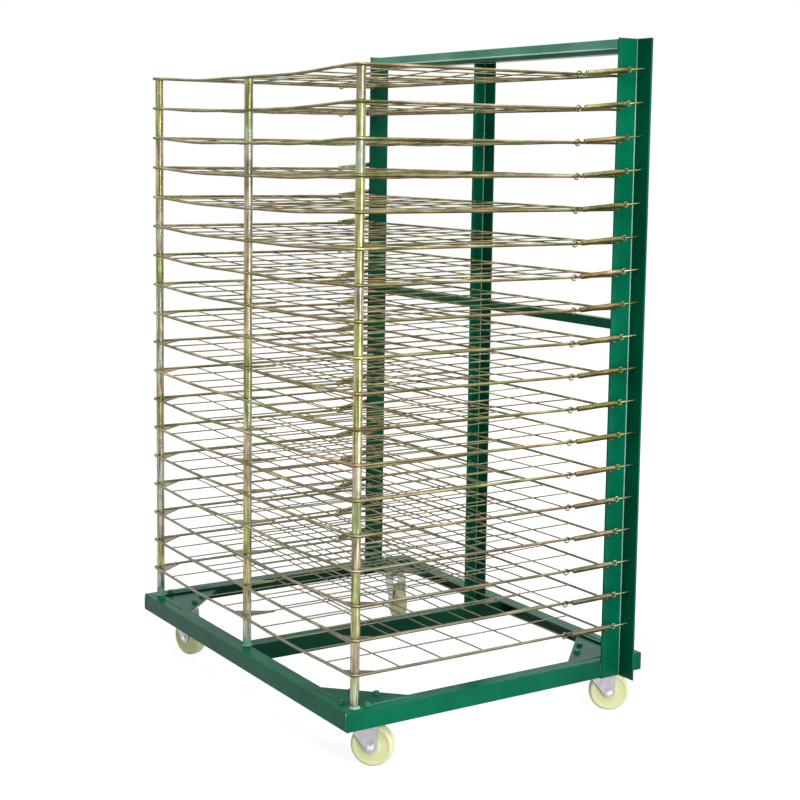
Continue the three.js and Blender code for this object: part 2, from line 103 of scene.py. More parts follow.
# Plates and spacer tubes at the front of a shelf
PLATE_WIDTH = 46 * MM
PLATE_LENGTH = 62 * MM
PLATE_WALL = 2 * MM
PLATE_CORNER = 8 * MM
PLATE_SEAT = 0.3 * MM
MIDDLE_PLATE_LENGTH = 71.3 * MM
MIDDLE_PLATE_TIP = 3 * MM
TUBE_RADIUS = 8 * MM
TUBE_WALL = 1.5 * MM
TUBE_BORE = TUBE_RADIUS - TUBE_WALL
TUBE_RIM = 0.5 * MM
TUBE_GAP = 0.4 * MM
TUBE_SIDES = 28
LOWEST_TUBE = 59.3 * MM
STUB_HEIGHTS = (16.6 * MM, 16.6 * MM, 4.6 * MM)

# Springs: an eyelet round the side wire, a close coil, a hook and a pin through the upright
SPRING_WIRE = 1.05 * MM
HOOK_WIRE = 1.25 * SPRING_WIRE
COIL_RADIUS = 4.0 * MM
COIL_LENGTH = 80 * MM
COIL_TURNS = 38.0
COIL_STEPS = 12
COIL_SIDES = 6
EYELET_ARM = 81.6 * MM
EYELET_REACH = 8.5 * MM
EYELET_RISE = 1 * MM
EYELET_RING = 5.4 * MM
EYELET_GAP = 1.3 * MM
EYELET_LEAD = 6 * MM
EYELET_BEND = 2 * MM
EYELET_POINTS = 17
ANCHOR_INSET = 23.7 * MM
ANCHOR_RISE = 13 * MM
HOOK_LEAD = 2 * MM
HOOK_RING = 4.4 * MM
HOOK_POINTS = 16
RING_STEP = math.pi / 8
PIN_SEAT = 0.4 * HOOK_RING
PIN_OVERLAP = 2 * MM
PIN_NECK = 0.6
PIN_TAIL = 5.5 * MM
PIN_RADII = [1.2 * MM, 2 * MM, 1.7 * MM, 1.2 * MM, 1.2 * MM]
PIN_SIDES = 10

# Rolled steel of the frame: rounding, and which edges and faces count as sharp, short or narrow
UPRIGHT_WALL = 4 * MM
MIDDLE_WALL = 3 * MM
EDGE_ROUNDING = 0.9 * MM
ROOT_ROUNDING = 2.4 * MM
ROUNDED_STRIP = 1.5 * MM
MERGE_DISTANCE = 0.02 * MM
SHORT_EDGE = 15 * MM
FLAT_ANGLE = math.radians(1)
SHARP_ANGLE = math.radians(40)
INWARD_LIMIT = 100 * MM
FACING = 0.5
RAIL_BAND = 9 * MM
BASE_RAILS = ["front_rail", "rear_rail", "right_side_rail", "left_side_rail", "middle_rail"]
BARS = ["right_upright", "left_upright", "middle_upright", "top_rail", "crossbar"]
INWARD_SHADE = {"left_upright": 0.5, "middle_upright": 0.5, "right_upright": 0.4}

# Weld runs and pale seams of painted highlight: bead radii, how a bead wanders and swells, and where the runs
# lie
CORNER_BEAD = 1.5 * MM
FOOT_BEAD = 2.2 * MM
SIDE_BEAD = 2.0 * MM
BAR_BEAD = 1.8 * MM
CROSS_BEAD = 1.6 * MM
GUSSET_BEAD = 1.3 * MM
SEAM_BEAD = 1.3 * MM
RAIL_BEAD = 1.8 * MM
BEAD_STEP = 0.8 * MM
BEAD_WANDER = 0.25 * MM
BEAD_SWELL = 0.22
BEAD_BODY = 0.85
BEAD_RIPPLE = 0.9
BEAD_CHANCE = 0.05
BEAD_TAPER = 6
BEAD_TIP = 0.3
LEAST_BEADS = 4
WELD_SMOOTH = 60
RUN_END = 2 * MM
RUN_RISE = 0.8 * MM
CORNER_RUN_IN = 3.7 * MM
CORNER_RUN_OUT = 0.2 * MM
FOOT_RUN_OUT = 0.6 * MM
FOOT_RUN_END = 3 * MM
SIDE_RUN_IN = 0.4 * MM
BAR_RUN_OUT = 0.4 * MM
CROSS_RUN_END = 1 * MM
SEAM_END = 1 * MM
GUSSET_IN = 19 * MM
GUSSET_START = 30 * MM
GUSSET_END = 132 * MM
MIDDLE_RUN_OUT = 0.5 * MM
MIDDLE_RUN_BACK = 4 * MM
MIDDLE_RUN_TURN = 5 * MM

# Stubs on the base
STUB_SINK = 0.2 * MM
STUB_RIM = 0.4 * MM
STUB_SIDES = 32
FOOT_RING = 2.2 * MM
FOOT_SHARE = 0.6
FOOT_SLOPE = 0.55

# Casters: how far each stands turned, and how its plate is turned
CASTERS = {"front_left": 15, "front_right": 45, "rear_right": 55, "rear_left": -15}
PLATE_TURNS = {"front_left": 0, "front_right": 90, "rear_right": 180, "rear_left": 270}
SWIVEL_INSET = 60 * MM
CASTER_TRAIL = 25 * MM
CASTER_TOP = 109.6 * MM
CASTER_PLATE_HALF = (46 * MM, 31 * MM)
CASTER_PLATE_CORNER = 6 * MM
CASTER_PLATE_WALL = 3 * MM
PLATE_BEND_STEPS = 4
BOLT_PLACE = (35 * MM, 22.5 * MM)
BOLT_LIFT = 0.9 * MM
BOLT_SIZES = {
    "Head Radius": 5.4 * MM, "Head Height": 4.6 * MM, "Washer Radius": 6.8 * MM, "Washer Height": 1.2 * MM,
}
WHEEL_RADIUS = 38 * MM
WHEEL_WIDTH = 24 * MM
WHEEL_SIDES = 64
FORK_WALL = 2.6 * MM
FORK_INNER = WHEEL_WIDTH / 2 + 1.5 * MM
FORK_OUTER = FORK_INNER + FORK_WALL
FORK_CROWN = 99.3 * MM
FORK_BACK = 23 * MM
FORK_FRONT = CASTER_TRAIL + 9 * MM
FORK_TOP = FORK_CROWN - 4 * MM
FORK_SHOULDER = FORK_CROWN - 15 * MM
FORK_WAIST = (-17 * MM, FORK_CROWN - 26 * MM)
FORK_CHEEK = FORK_CROWN - 22 * MM
LUG_RADIUS = 11 * MM
LUG_START = 1.12 * math.pi
LUG_TURN = 0.9 * math.pi
LUG_STEPS = 14
CROWN_RADIUS = 5 * MM
CROWN_STEPS = 6
RACE_SIDES = 40

# Turned profiles in millimetres, as radius and height: race above the crown, half a wheel, axle ends
RACE_PROFILE = [
    (8, -0.5), (21, -0.5), (22, 1), (22, 2.4), (20.5, 3.2), (20.5, 4.2), (21.5, 4.8), (20, 6.6), (8, 6.6),
]
WHEEL_PROFILE = [
    (4.5, 12.0), (13.0, 12.0), (14.5, 11.4), (15.5, 11.0), (17.0, 10.6), (27.0, 10.6), (29.0, 10.8),
    (30.5, 11.4), (32.0, 11.9), (34.5, 11.6), (36.6, 10.0), (37.6, 7.0), (38.0, 2.5),
]
AXLE_SEAT = FORK_OUTER + 0.1 * MM
AXLE_WASHER = [(3, 0), (6.2, 0), (6.2, 1), (3, 1)]
AXLE_HEXAGON = [(0.5, 1), (5.4, 1), (5.4, 4), (4.6, 5), (0.5, 5)]
AXLE_CORE = 0.4 * MM
AXLE_RADIUS = 3.9 * MM
AXLE_PAST_SEAT = 4 * MM
SHAFT_SIDES = 24
WASHER_SIDES = 32
HEXAGON = 6

# Finishes: stops of a ramp are a place and a colour
BLACK = (0, 0, 0)
WHITE = (1, 1, 1)
PAINTS = {
    "green_paint": ((0.0005, 0.105, 0.052), (0.001, 0.165, 0.082)),
    # Lighter copy of the green paint for the top rail: painted light on its face
    "lit_top_rail_paint": ((0.08, 0.29, 0.19), (0.17, 0.43, 0.3)),
    "weld_paint": ((0.01, 0.17, 0.09), (0.06, 0.3, 0.18)),
    # Pale paint of the seams: painted highlights
    "highlight_paint": ((0.34, 0.66, 0.52), (0.5, 0.8, 0.68)),
    "stub_paint": ((0.05, 0.28, 0.18), (0.42, 0.62, 0.5)),
}
PAINT_SCUFF = (0.09, 0.30, 0.2)
PAINT_IOR = 1.16
# Painted shade: darkens the faces turned in or down and the top rail's lower band
PAINTED_SHADE = [(0, WHITE), (1, (0.3, 0.34, 0.32))]
WIRE_TONES = [
    (0.3, (0.12, 0.104, 0.035)), (0.45, (0.255, 0.222, 0.085)), (0.57, (0.375, 0.318, 0.16)),
    (0.7, (0.6, 0.56, 0.34)),
]
WIRE_HUES = [(0.38, (0.9, 1.05, 0.85)), (0.5, WHITE), (0.62, (1.12, 0.92, 1.05))]
WIRE_SPECK = (0.06, 0.05, 0.025)
WORN_WIRE = (0.21, 0.2, 0.185)
WIRE_WEAR = 0.65
WORN_HEIGHT = 360 * MM
# Painted light on the wires: a brighter top and painted shade on the underside
WIRE_LIT_TOP_SHADED_UNDERSIDE = [(0.34, (1.1, 1.1, 1.05)), (0.58, (0.3, 0.28, 0.22)), (1, (0.27, 0.25, 0.2))]
TUBE_TONES = [
    (0.0, (0.42, 0.46, 0.2)), (0.3, (0.49, 0.46, 0.25)), (0.5, (0.5, 0.43, 0.34)),
    (0.75, (0.4, 0.46, 0.4)), (1.0, (0.46, 0.52, 0.27)),
]
TUBE_STREAKS = [(0.38, (0.34, 0.33, 0.27)), (0.62, (1.16, 1.16, 1.12))]
TUBE_BLOTCHES = [(0.35, (0.7, 0.72, 0.6)), (0.65, (1.08, 1.02, 1.05))]
ZINC = {
    "bright_zinc": ((0.40, 0.39, 0.43), (0.50, 0.49, 0.53)),
    "bright_axle": ((0.72, 0.72, 0.74), (0.86, 0.86, 0.88)),
}
CREAM = ((0.87, 0.90, 0.46), (0.91, 0.94, 0.55))
CREAM_DUST = (0.42, 0.38, 0.22)

# Camera
CAMERA_PLACE = (2.598, -1.641, 1.058)
CAMERA_TURN = (83.566, -0.793, 57.192)
CAMERA_LENS = 70.71
CAMERA_SENSOR = 36
CAMERA_SHIFT = (0, -0.09)

# Studio: each lamp has a place, a width, a height and a power
FLOOR_TONE = 0.4
FLOOR_GLOW = 0.84
FLOOR_REACH = 14
FLOOR_THICKNESS = 0.02
WORLD_LIGHT = 0.36
LAMP_TARGET = Vector((0, 0, 0.6))
LAMPS = {
    "key": ((1.8, -0.9, 3.6), 2.4, 2.4, 80),
    "strip": ((4.0, 0.3, 1.2), 0.5, 2.6, 90),
    "fill": ((-2.0, -3.4, 2.6), 3.0, 3.0, 6),
    "back": ((-1.6, 3.0, 2.8), 2.4, 2.4, 35),
}


# Material helpers


def new_material(name):
    material = bpy.data.materials.new(name)
    material.use_nodes = True
    tree = material.node_tree
    return material, tree, tree.nodes["Principled BSDF"]


def add(tree, kind, **settings):
    """A node with its properties and input values set by name."""
    node = tree.nodes.new(kind)
    for key, value in settings.items():
        if hasattr(node, key):
            setattr(node, key, value)
        else:
            node.inputs[key.replace("_", " ")].default_value = value
    return node


def object_noise(tree, scale, detail=3.0, stretch=(1, 1, 1)):
    """Noise on the piece's own coordinates, in cycles per metre."""
    place = add(tree, "ShaderNodeTexCoord")
    turn = add(tree, "ShaderNodeMapping", Scale=stretch)
    noise = add(tree, "ShaderNodeTexNoise", Scale=scale, Detail=detail)
    tree.links.new(place.outputs["Object"], turn.inputs["Vector"])
    tree.links.new(turn.outputs["Vector"], noise.inputs["Vector"])
    return noise.outputs["Fac"]


def object_height(tree):
    """Height on the piece's own coordinates, in metres."""
    place = add(tree, "ShaderNodeTexCoord")
    split = add(tree, "ShaderNodeSeparateXYZ")
    tree.links.new(place.outputs["Object"], split.inputs["Vector"])
    return split.outputs["Z"]


def own_value(tree, name):
    """A value that the mesh carries as its own attribute."""
    return add(tree, "ShaderNodeAttribute", attribute_name=name).outputs["Fac"]


def ramp(tree, source, stops):
    node = add(tree, "ShaderNodeValToRGB")
    elements = node.color_ramp.elements
    while len(elements) < len(stops):
        elements.new(0.5)
    for element, (place, colour) in zip(elements, stops):
        element.position = place
        element.color = (*colour, 1)
    tree.links.new(source, node.inputs["Fac"])
    return node.outputs["Color"]


def cloud(tree, scale, detail, low, high):
    """Two tones that run into one another."""
    return ramp(tree, object_noise(tree, scale, detail), [(0.35, low), (0.65, high)])


def spread(tree, source, low, high, start=0, stop=1):
    """Maps start to low and stop to high, and what lies between or beyond with them."""
    node = add(tree, "ShaderNodeMapRange", From_Min=start, From_Max=stop, To_Min=low, To_Max=high)
    tree.links.new(source, node.inputs["Value"])
    return node.outputs["Result"]


def mix(tree, factor, first, second, blend="MIX"):
    """Mixes two colours; each value is a socket or a constant."""
    node = add(tree, "ShaderNodeMix", data_type="RGBA", blend_type=blend)
    colours = [socket for socket in node.inputs if socket.type == "RGBA"]
    for socket, value in zip([node.inputs["Factor"], *colours], (factor, first, second)):
        if hasattr(value, "is_linked"):
            tree.links.new(value, socket)
        else:
            socket.default_value = (*value, 1) if socket in colours else value
    return next(socket for socket in node.outputs if socket.type == "RGBA")


def multiply(tree, first, second):
    return mix(tree, 1.0, first, second, "MULTIPLY")


def surface(tree, shader, colour, roughness, relief, depth, strength):
    """Links a colour and a roughness, and raises the relief by its depth in metres."""
    node = add(tree, "ShaderNodeBump", Distance=depth, Strength=strength)
    tree.links.new(colour, shader.inputs["Base Color"])
    tree.links.new(roughness, shader.inputs["Roughness"])
    tree.links.new(relief, node.inputs["Height"])
    tree.links.new(node.outputs["Normal"], shader.inputs["Normal"])


# Finishes


def green_paint(name, with_painted_shade=True):
    """Brushed-on gloss enamel: uneven tone, orange peel, pale scuffs, and painted shade on the faces marked
    for it.
    """
    material, tree, shader = new_material(name)
    tone = cloud(tree, 7, 4, *PAINTS[name])
    scuffs = ramp(tree, object_noise(tree, 160, 6, (1, 1, 0.35)), [(0.69, BLACK), (0.76, WHITE)])
    colour = mix(tree, spread(tree, scuffs, 0, 0.35), tone, PAINT_SCUFF)
    # Painted shade on the faces marked for it
    if with_painted_shade:
        colour = multiply(tree, colour, ramp(tree, own_value(tree, "painted_shade_mask"), PAINTED_SHADE))
    roughness = spread(tree, object_noise(tree, 35, 3), 0.16, 0.34)
    surface(tree, shader, colour, roughness, object_noise(tree, 420, 2), 0.25 * MM, 0.25)
    shader.inputs["IOR"].default_value = PAINT_IOR
    return material


def yellow_zinc():
    """Passivated wire: gold running to olive and pink, with a painted highlight on top and painted shade
    underneath, worn grey on the low shelves.
    """
    material, tree, shader = new_material("yellow_zinc_wire")
    tone = ramp(tree, object_noise(tree, 16, 4), WIRE_TONES)
    tone = multiply(tree, tone, ramp(tree, object_noise(tree, 9, 2), WIRE_HUES))
    worn = spread(tree, object_height(tree), WIRE_WEAR, 0, FIRST_SHELF, FIRST_SHELF + WORN_HEIGHT)
    tone = mix(tree, worn, tone, WORN_WIRE)
    specks = ramp(tree, object_noise(tree, 330, 4), [(0.62, BLACK), (0.74, WHITE)])
    colour = mix(tree, spread(tree, specks, 0, 0.7), tone, WIRE_SPECK)
    # Painted highlight on top and painted shade underneath, by which way each point faces
    colour = multiply(tree, colour, ramp(tree, own_value(tree, "underside_shade"), WIRE_LIT_TOP_SHADED_UNDERSIDE))
    roughness = spread(tree, object_noise(tree, 90, 3), 0.26, 0.5)
    surface(tree, shader, colour, roughness, object_noise(tree, 900, 2), 0.1 * MM, 0.4)
    shader.inputs["Metallic"].default_value = 0.85
    return material


def plated_tube():
    """Each tube segment has its own plating tone, with streaks down its length."""
    material, tree, shader = new_material("plated_tube")
    base = ramp(tree, own_value(tree, "tone"), TUBE_TONES)
    streaks = object_noise(tree, 240, 4, (1, 1, 0.06))
    streaked = multiply(tree, base, ramp(tree, streaks, TUBE_STREAKS))
    colour = multiply(tree, streaked, ramp(tree, object_noise(tree, 60, 3), TUBE_BLOTCHES))
    surface(tree, shader, colour, spread(tree, streaks, 0.22, 0.42), streaks, 0.1 * MM, 0.3)
    shader.inputs["Metallic"].default_value = 0.9
    return material


def bright_zinc(name):
    """Pressed steel with bright plating, cloudy at hand scale."""
    material, tree, shader = new_material(name)
    colour = cloud(tree, 110, 4, *ZINC[name])
    roughness = spread(tree, object_noise(tree, 260, 3), 0.25, 0.48)
    surface(tree, shader, colour, roughness, object_noise(tree, 700, 2), 0.1 * MM, 0.3)
    shader.inputs["Metallic"].default_value = 0.85
    return material


def cream_wheel():
    """Moulded cream plastic with faint mottling and floor dust in its pores."""
    material, tree, shader = new_material("cream_wheel")
    tone = cloud(tree, 70, 4, *CREAM)
    dust = ramp(tree, object_noise(tree, 420, 5), [(0.6, BLACK), (0.75, WHITE)])
    colour = mix(tree, spread(tree, dust, 0, 0.18), tone, CREAM_DUST)
    roughness = spread(tree, object_noise(tree, 300, 3), 0.36, 0.55)
    surface(tree, shader, colour, roughness, object_noise(tree, 600, 3), 0.2 * MM, 0.35)
    shader.inputs["Subsurface Weight"].default_value = 0.08
    shader.inputs["Subsurface Scale"].default_value = 4 * MM
    return material


# Mesh helpers


def circle(count):
    """Cosine and sine of evenly spaced angles round a full turn."""
    turns = [2 * math.pi * step / count for step in range(count)]
    return [(math.cos(turn), math.sin(turn)) for turn in turns]


def bridge(bm, lower, upper):
    """Faces between two rings with as many points each."""
    count = len(lower)
    for step in range(count):
        after = (step + 1) % count
        bm.faces.new((lower[step], lower[after], upper[after], upper[step]))


def sweep(bm, points, radius, sides=ROUND_SIDES):
    """A closed tube through the points; radius is one value or one for each point."""
    points = [Vector(point) for point in points]
    radii = radius if isinstance(radius, list) else [radius] * len(points)
    last = len(points) - 1
    normal = None
    rings = []
    for index, point in enumerate(points):
        tangent = (points[min(index + 1, last)] - points[max(index - 1, 0)]).normalized()
        if normal is None:
            normal = tangent.orthogonal().normalized()
        normal = (normal - tangent * normal.dot(tangent)).normalized()
        side = tangent.cross(normal)
        offsets = [(normal * c + side * s) * radii[index] for c, s in circle(sides)]
        rings.append([bm.verts.new(point + offset) for offset in offsets])
    for lower, upper in zip(rings, rings[1:]):
        bridge(bm, lower, upper)
    bm.faces.new(rings[0][::-1])
    bm.faces.new(rings[-1])


def lathe(bm, profile, sides, matrix):
    """A closed ring or disc from (radius, height) points, turned about local Z and placed by matrix."""
    rings = []
    for radius, height in profile:
        points = [Vector((radius * c, radius * s, height)) for c, s in circle(sides)]
        rings.append([bm.verts.new(matrix @ point) for point in points])
    for lower, upper in zip(rings, rings[1:] + rings[:1]):
        bridge(bm, lower, upper)


def close_between(bm, first, second):
    """A closed shape from two outlines with as many points each."""
    bridge(bm, first, second)
    bm.faces.new(first[::-1])
    bm.faces.new(second)


def prism(bm, outline, low, high):
    """A flat plate from an outline in X and Y."""
    close_between(bm, *[[bm.verts.new((x, y, z)) for x, y in outline] for z in (low, high)])


def arc(centre, across, up, radius, count):
    """Points round a ring, from the across side towards the up side."""
    angles = [step * RING_STEP for step in range(count)]
    return [centre + (across * math.cos(angle) + up * math.sin(angle)) * radius for angle in angles]


def to_object(name, bm, material, smooth=40):
    bmesh.ops.recalc_face_normals(bm, faces=bm.faces)
    mesh = bpy.data.meshes.new(name)
    bm.to_mesh(mesh)
    bm.free()
    return finish_object(name, mesh, material, smooth)


def finish_object(name, mesh, material, smooth=40):
    """An object of a mesh, smooth up to an angle in degrees; with no material it keeps the mesh's own."""
    mesh.shade_smooth()
    mesh.set_sharp_from_angle(angle=math.radians(smooth))
    if material is not None:
        mesh.materials.clear()
        mesh.materials.append(material)
    obj = bpy.data.objects.new(name, mesh)
    bpy.context.scene.collection.objects.link(obj)
    return obj


def riding(obj, body, slot, *nodes):
    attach(obj, body)
    if nodes:
        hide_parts(*nodes)
    return obj


# Geometry Nodes


def new_tree(name, inputs):
    tree = bpy.data.node_groups.new(name, "GeometryNodeTree")
    tree.interface.new_socket("Geometry", in_out="INPUT", socket_type="NodeSocketGeometry")
    for label, kind in inputs.items():
        tree.interface.new_socket(label, in_out="INPUT", socket_type=f"NodeSocket{kind}")
    tree.interface.new_socket("Geometry", in_out="OUTPUT", socket_type="NodeSocketGeometry")
    return tree, tree.nodes.new("NodeGroupInput"), tree.nodes.new("NodeGroupOutput")


def end_tree(tree, source, sink, material):
    real = tree.nodes.new("GeometryNodeRealizeInstances")
    paint = tree.nodes.new("GeometryNodeSetMaterial")
    paint.inputs["Material"].default_value = material
    tree.links.new(source, real.inputs["Geometry"])
    tree.links.new(real.outputs["Geometry"], paint.inputs["Geometry"])
    tree.links.new(paint.outputs["Geometry"], sink.inputs["Geometry"])


def grown_mesh(tree, values, carrier=None):
    """Runs a tree with its named values set and returns the plain mesh."""
    mesh = carrier or bpy.data.meshes.new(tree.name)
    obj = bpy.data.objects.new(tree.name, mesh)
    bpy.context.scene.collection.objects.link(obj)
    modifier = obj.modifiers.new("grow", "NODES")
    modifier.node_group = tree
    for item in tree.interface.items_tree:
        if item.in_out == "INPUT" and item.name in values:
            modifier[item.identifier] = values[item.name]
    evaluated = obj.evaluated_get(bpy.context.evaluated_depsgraph_get())
    result = bpy.data.meshes.new_from_object(evaluated)
    bpy.data.objects.remove(obj)
    return result


def wire_row_tree(material):
    """Parallel straight wires, instanced along a line of points."""
    tree, source, sink = new_tree("wire_row", {
        "Count": "Int", "First": "Vector", "Step": "Vector", "Run": "Vector", "Wire Radius": "Float",
        "Points": "Int"})
    line = tree.nodes.new("GeometryNodeMeshLine")
    wire = tree.nodes.new("GeometryNodeCurvePrimitiveLine")
    finer = tree.nodes.new("GeometryNodeResampleCurve")
    section = tree.nodes.new("GeometryNodeCurvePrimitiveCircle")
    skin = tree.nodes.new("GeometryNodeCurveToMesh")
    place = tree.nodes.new("GeometryNodeInstanceOnPoints")
    section.inputs["Resolution"].default_value = WIRE_SIDES
    skin.inputs["Fill Caps"].default_value = True
    link = tree.links.new
    link(source.outputs["Count"], line.inputs["Count"])
    link(source.outputs["First"], line.inputs["Start Location"])
    link(source.outputs["Step"], line.inputs["Offset"])
    link(source.outputs["Run"], wire.inputs["End"])
    link(wire.outputs["Curve"], finer.inputs["Curve"])
    link(source.outputs["Points"], finer.inputs["Count"])
    link(source.outputs["Wire Radius"], section.inputs["Radius"])
    link(finer.outputs["Curve"], skin.inputs["Curve"])
    link(section.outputs["Curve"], skin.inputs["Profile Curve"])
    link(line.outputs["Mesh"], place.inputs["Points"])
    link(skin.outputs["Mesh"], place.inputs["Instance"])
    end_tree(tree, place.outputs["Instances"], sink, material)
    return tree


def coil_tree(material):
    """A close-wound spring along local Z."""
    tree, source, sink = new_tree("spring_coil", {
        "Turns": "Float", "Coil Radius": "Float", "Length": "Float", "Wire Radius": "Float"})
    spiral = tree.nodes.new("GeometryNodeCurveSpiral")
    section = tree.nodes.new("GeometryNodeCurvePrimitiveCircle")
    skin = tree.nodes.new("GeometryNodeCurveToMesh")
    spiral.inputs["Resolution"].default_value = COIL_STEPS
    section.inputs["Resolution"].default_value = COIL_SIDES
    skin.inputs["Fill Caps"].default_value = True
    link = tree.links.new
    link(source.outputs["Turns"], spiral.inputs["Rotations"])
    link(source.outputs["Coil Radius"], spiral.inputs["Start Radius"])
    link(source.outputs["Coil Radius"], spiral.inputs["End Radius"])
    link(source.outputs["Length"], spiral.inputs["Height"])
    link(source.outputs["Wire Radius"], section.inputs["Radius"])
    link(spiral.outputs["Curve"], skin.inputs["Curve"])
    link(section.outputs["Curve"], skin.inputs["Profile Curve"])
    end_tree(tree, skin.outputs["Mesh"], sink, material)
    return tree


def bolt_tree(material):
    """A hexagon head on a washer at every vertex of the carrier mesh."""
    tree, source, sink = new_tree("hex_bolts", {
        "Head Radius": "Float", "Head Height": "Float", "Washer Radius": "Float", "Washer Height": "Float"})
    head = tree.nodes.new("GeometryNodeMeshCylinder")
    washer = tree.nodes.new("GeometryNodeMeshCylinder")
    lift = tree.nodes.new("GeometryNodeTransform")
    rise = tree.nodes.new("ShaderNodeCombineXYZ")
    half = tree.nodes.new("ShaderNodeMath")
    join = tree.nodes.new("GeometryNodeJoinGeometry")
    place = tree.nodes.new("GeometryNodeInstanceOnPoints")
    head.inputs["Vertices"].default_value = HEXAGON
    washer.inputs["Vertices"].default_value = SHAFT_SIDES
    half.operation = "MULTIPLY"
    half.inputs[1].default_value = 0.5
    link = tree.links.new
    link(source.outputs["Head Radius"], head.inputs["Radius"])
    link(source.outputs["Head Height"], head.inputs["Depth"])
    link(source.outputs["Washer Radius"], washer.inputs["Radius"])
    link(source.outputs["Washer Height"], washer.inputs["Depth"])
    link(source.outputs["Head Height"], half.inputs[0])
    link(half.outputs["Value"], rise.inputs["Z"])
    link(rise.outputs["Vector"], lift.inputs["Translation"])
    link(head.outputs["Mesh"], lift.inputs["Geometry"])
    link(lift.outputs["Geometry"], join.inputs["Geometry"])
    link(washer.outputs["Mesh"], join.inputs["Geometry"])
    link(source.outputs["Geometry"], place.inputs["Points"])
    link(join.outputs["Geometry"], place.inputs["Instance"])
    end_tree(tree, place.outputs["Instances"], sink, material)
    return tree


# Shelves


def shelf_z(number):
    return FIRST_SHELF + (number - 1) * SHELF_PITCH


def middle_drop(number):
    """How far the middle tube of a shelf stands below the outer two."""
    return LEAST_DROP + DROP_GROWTH * (number - 1) / (SHELF_COUNT - 1)


def sag(x, y, depth, drop):
    """How far a shelf hangs at a place on it: in each bay and along its middle, near the front."""
    inside = max(1 - abs(x) / HALF_SPAN, 0)
    bay = math.sin(math.pi * inside) ** 2
    forward = min(max(-y / SHELF_REACH, 0), 1)
    hang = math.sin(math.pi * (SAG_START + SAG_TURN * forward)) * min(SAG_RISE * forward, 1)
    return depth * bay * hang + drop * inside * forward


def edge_route():
    """The edge wire's route in the shelf's frame, from one hinge end to the other."""
    stride = (SHELF_REACH + EDGE_PAST_HINGE) / SIDE_STEPS
    left = [Vector((-SIDE_WIRE_X, EDGE_PAST_HINGE - step * stride, 0)) for step in range(SIDE_STEPS)]
    for step in range(BEND_STEPS + 1):
        angle = math.pi + step * math.pi / 2 / BEND_STEPS
        bend = Vector((math.cos(angle), math.sin(angle), 0)) * CORNER_RADIUS
        left.append(Vector((-HALF_SPAN, -SHELF_REACH, 0)) + bend)
    stride = TUBE_SPAN / FRONT_STEPS
    front = [Vector((-HALF_SPAN + step * stride, FRONT_WIRE_Y, 0)) for step in range(1, FRONT_STEPS)]
    right = [Vector((-point.x, point.y, 0)) for point in left[::-1]]
    return left + front + right


def wire_mesh(trees):
    """Edge wire, hinge rod and grid of one shelf, in the shelf's frame."""
    bm = bmesh.new()
    sweep(bm, edge_route(), EDGE_RADIUS)
    shaft = HINGE_HALF - HINGE_CHAMFER
    sweep(bm, [(x, 0, 0) for x in (-HINGE_HALF, -shaft, shaft, HINGE_HALF)],
          [HINGE_TIP, HINGE_RADIUS, HINGE_RADIUS, HINGE_TIP])
    long_step = TUBE_SPAN / (LONG_WIRES + 1)
    cross_step = SHELF_REACH / (CROSS_WIRES + 1)
    rows = [
        {"Count": LONG_WIRES, "First": (-HALF_SPAN + long_step, FRONT_WIRE_Y, GRID_LAYER),
         "Step": (long_step, 0, 0), "Run": (0, -FRONT_WIRE_Y, 0)},
        {"Count": CROSS_WIRES, "First": (-SIDE_WIRE_X, -cross_step * CROSS_WIRES, -GRID_LAYER),
         "Step": (0, cross_step, 0), "Run": (2 * SIDE_WIRE_X, 0, 0)},
    ]
    for row in rows:
        grown = grown_mesh(trees["row"], {**row, "Wire Radius": GRID_RADIUS, "Points": WIRE_POINTS})
        bm.from_mesh(grown)
        bpy.data.meshes.remove(grown)
    return bm


def plate_mesh():
    """The three triangular plates by the spacer tubes, in the shelf's frame."""
    bm = bmesh.new()
    front = FRONT_WIRE_Y
    outlines = []
    for side in (-1, 1):
        outer = side * SIDE_WIRE_X
        outline = [(outer - side * PLATE_WIDTH, front), (outer - side * PLATE_CORNER, front),
                   (outer, front + PLATE_CORNER), (outer, front + PLATE_LENGTH)]
        outlines.append(outline[::side])
    tip = front + MIDDLE_PLATE_LENGTH
    outlines.append([(-PLATE_WIDTH, front), (0, front), (0, tip), (-MIDDLE_PLATE_TIP, tip)])
    level = -EDGE_RADIUS + PLATE_SEAT
    for outline in outlines:
        prism(bm, outline, level, level + PLATE_WALL)
    return bm


def tube_profile(bottom, top):
    return [(TUBE_BORE, bottom), (TUBE_RADIUS - TUBE_RIM, bottom), (TUBE_RADIUS, bottom + TUBE_RIM),
            (TUBE_RADIUS, top - TUBE_RIM), (TUBE_RADIUS - TUBE_RIM, top), (TUBE_BORE, top)]


def shelf_tubes(number, material, chance):
    """Three spacer tubes, each with its own plating tone; the lowest stand on the stubs."""
    bm = bmesh.new()
    tone = bm.verts.layers.float.new("tone")
    for place, stub in enumerate(STUB_HEIGHTS):
        length = LOWEST_TUBE - stub if number == 1 else SHELF_PITCH - EDGE_RADIUS - TUBE_GAP
        low = middle_drop(number) if place == 1 else 0
        below = middle_drop(number - 1) if place == 1 and number > 1 else 0
        start = len(bm.verts)
        centre = Matrix.Translation(((place - 1) * HALF_SPAN, HINGE_Y - SHELF_REACH, shelf_z(number)))
        lathe(bm, tube_profile(-length - below, EDGE_RADIUS - low), TUBE_SIDES, centre)
        bm.verts.ensure_lookup_table()
        shade = chance.random()
        for vertex in bm.verts[start:]:
            vertex[tone] = shade
    return to_object(f"shelf_{number:02d}_tubes", bm, material)


